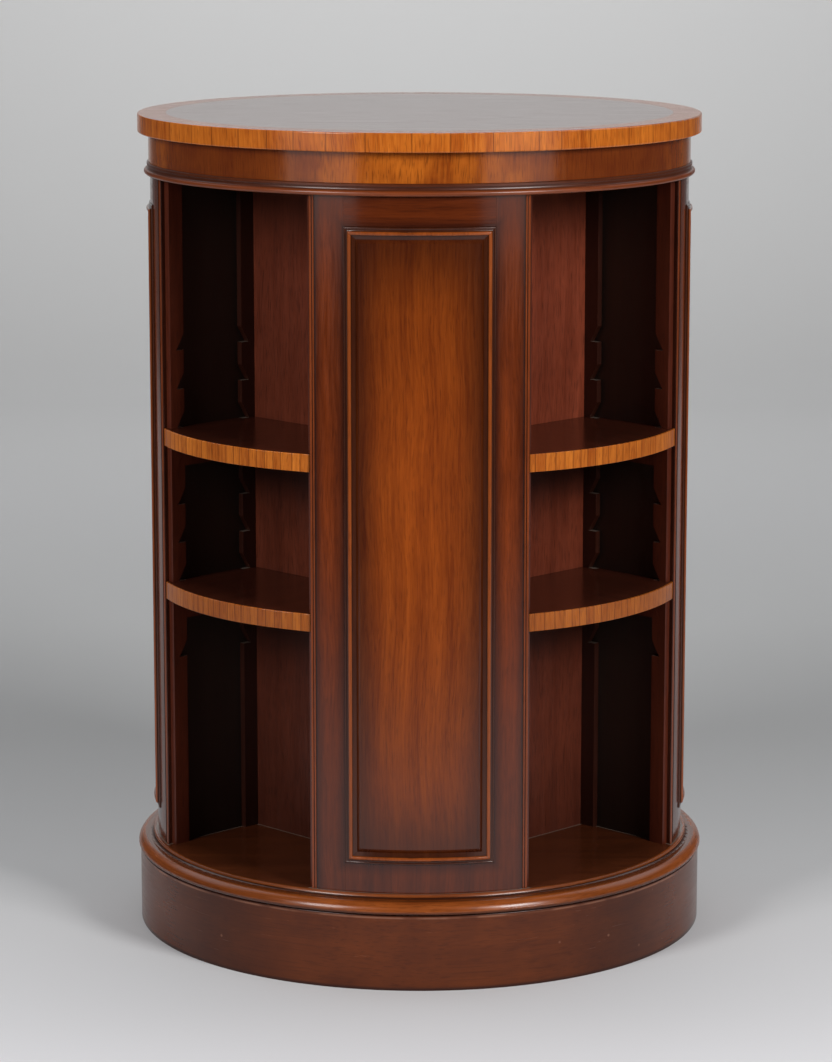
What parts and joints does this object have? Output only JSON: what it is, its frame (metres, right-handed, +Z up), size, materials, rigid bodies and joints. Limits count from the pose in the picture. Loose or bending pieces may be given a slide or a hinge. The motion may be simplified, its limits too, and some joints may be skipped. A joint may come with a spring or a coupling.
{
  "type": "revolving bookcase",
  "caption": "Round mahogany revolving bookcase: drum carcase with open bays, adjustable curved shelves and panelled columns, turning on a hooped plinth.",
  "frame": {"origin": "middle of the plinth's footprint, on the floor", "axes": "+Z up along the turning axis; -Y towards the column that faces the viewer; +X to the viewer's right"},
  "size_m": [0.5351, 0.5351, 0.7612],
  "materials": {
    "veneer_mahogany": "polished",
    "frame_mahogany": "polished",
    "moulded_mahogany": "polished",
    "crossband_mahogany": "polished",
    "inner_mahogany": "satin",
    "plinth_mahogany": "polished",
    "softwood": "sawn",
    "plated_steel": "zinc plated",
    "ball_steel": "ground",
    "screw_steel": "zinc plated"
  },
  "bodies": {
    "plinth": {"plinth_hoop": "plinth_mahogany", "plinth_deck": "softwood", "glue_blocks": "softwood", "bearing_lower_plate": "plated_steel", "lower_plate_screws": "screw_steel"},
    "ball_ring": {"bearing_balls": "ball_steel", "bearing_cage": "plated_steel"},
    "carcase": {"bearing_upper_plate": "plated_steel", "upper_plate_screws": "screw_steel", "base_board": "inner_mahogany", "base_moulding": "moulded_mahogany", "core_boards": "inner_mahogany", "lower_bearers": "inner_mahogany", "upper_bearers": "inner_mahogany", "bay_ceiling": "inner_mahogany", "frieze_bead": "moulded_mahogany", "frieze_hoop": "veneer_mahogany", "top_board": "veneer_mahogany", "top_border": "crossband_mahogany", "front_column_frame": "frame_mahogany", "front_panel": "veneer_mahogany", "front_panel_moulding": "moulded_mahogany", "front_edge_beads": "moulded_mahogany", "front_partitions": "inner_mahogany", "right_column_frame": "frame_mahogany", "right_panel": "veneer_mahogany", "right_panel_moulding": "moulded_mahogany", "right_edge_beads": "moulded_mahogany", "right_partitions": "inner_mahogany", "back_column_frame": "frame_mahogany", "back_panel": "veneer_mahogany", "back_panel_moulding": "moulded_mahogany", "back_edge_beads": "moulded_mahogany", "back_partitions": "inner_mahogany", "left_column_frame": "frame_mahogany", "left_panel": "veneer_mahogany", "left_panel_moulding": "moulded_mahogany", "left_edge_beads": "moulded_mahogany", "left_partitions": "inner_mahogany", "front_right_battens": "inner_mahogany", "back_right_battens": "inner_mahogany", "back_left_battens": "inner_mahogany", "front_left_battens": "inner_mahogany"},
    "front_right_lower_shelf_board": {"front_right_lower_shelf": "inner_mahogany", "front_right_lower_lipping": "crossband_mahogany"},
    "front_right_upper_shelf_board": {"front_right_upper_shelf": "inner_mahogany", "front_right_upper_lipping": "crossband_mahogany"},
    "back_right_lower_shelf_board": {"back_right_lower_shelf": "inner_mahogany", "back_right_lower_lipping": "crossband_mahogany"},
    "back_right_upper_shelf_board": {"back_right_upper_shelf": "inner_mahogany", "back_right_upper_lipping": "crossband_mahogany"},
    "back_left_lower_shelf_board": {"back_left_lower_shelf": "inner_mahogany", "back_left_lower_lipping": "crossband_mahogany"},
    "back_left_upper_shelf_board": {"back_left_upper_shelf": "inner_mahogany", "back_left_upper_lipping": "crossband_mahogany"},
    "front_left_lower_shelf_board": {"front_left_lower_shelf": "inner_mahogany", "front_left_lower_lipping": "crossband_mahogany"},
    "front_left_upper_shelf_board": {"front_left_upper_shelf": "inner_mahogany", "front_left_upper_lipping": "crossband_mahogany"}
  },
  "joints": [
    {"name": "carcase_spin", "type": "hinge", "parent": "plinth", "child": "carcase", "pos_m": [0, 0, 0.07], "axis": [0, 0, 1], "continuous": true},
    {"name": "ball_ring_spin", "type": "hinge", "parent": "plinth", "child": "ball_ring", "pos_m": [0, 0, 0.066], "axis": [0, 0, 1], "continuous": true},
    {"name": "front_right_lower_shelf_lift", "type": "slide", "parent": "carcase", "child": "front_right_lower_shelf_board", "axis": [0, 0, 1], "range_m": [0, 0.1]},
    {"name": "front_right_upper_shelf_lift", "type": "slide", "parent": "carcase", "child": "front_right_upper_shelf_board", "axis": [0, 0, 1], "range_m": [0, 0.22]},
    {"name": "back_right_lower_shelf_lift", "type": "slide", "parent": "carcase", "child": "back_right_lower_shelf_board", "axis": [0, 0, 1], "range_m": [0, 0.1]},
    {"name": "back_right_upper_shelf_lift", "type": "slide", "parent": "carcase", "child": "back_right_upper_shelf_board", "axis": [0, 0, 1], "range_m": [0, 0.22]},
    {"name": "back_left_lower_shelf_lift", "type": "slide", "parent": "carcase", "child": "back_left_lower_shelf_board", "axis": [0, 0, 1], "range_m": [0, 0.1]},
    {"name": "back_left_upper_shelf_lift", "type": "slide", "parent": "carcase", "child": "back_left_upper_shelf_board", "axis": [0, 0, 1], "range_m": [0, 0.22]},
    {"name": "front_left_lower_shelf_lift", "type": "slide", "parent": "carcase", "child": "front_left_lower_shelf_board", "axis": [0, 0, 1], "range_m": [0, 0.1]},
    {"name": "front_left_upper_shelf_lift", "type": "slide", "parent": "carcase", "child": "front_left_upper_shelf_board", "axis": [0, 0, 1], "range_m": [0, 0.22]}
  ],
  "couplings": [
    {"joint": "ball_ring_spin", "follows": "carcase_spin", "ratio": 0.5}
  ]
}
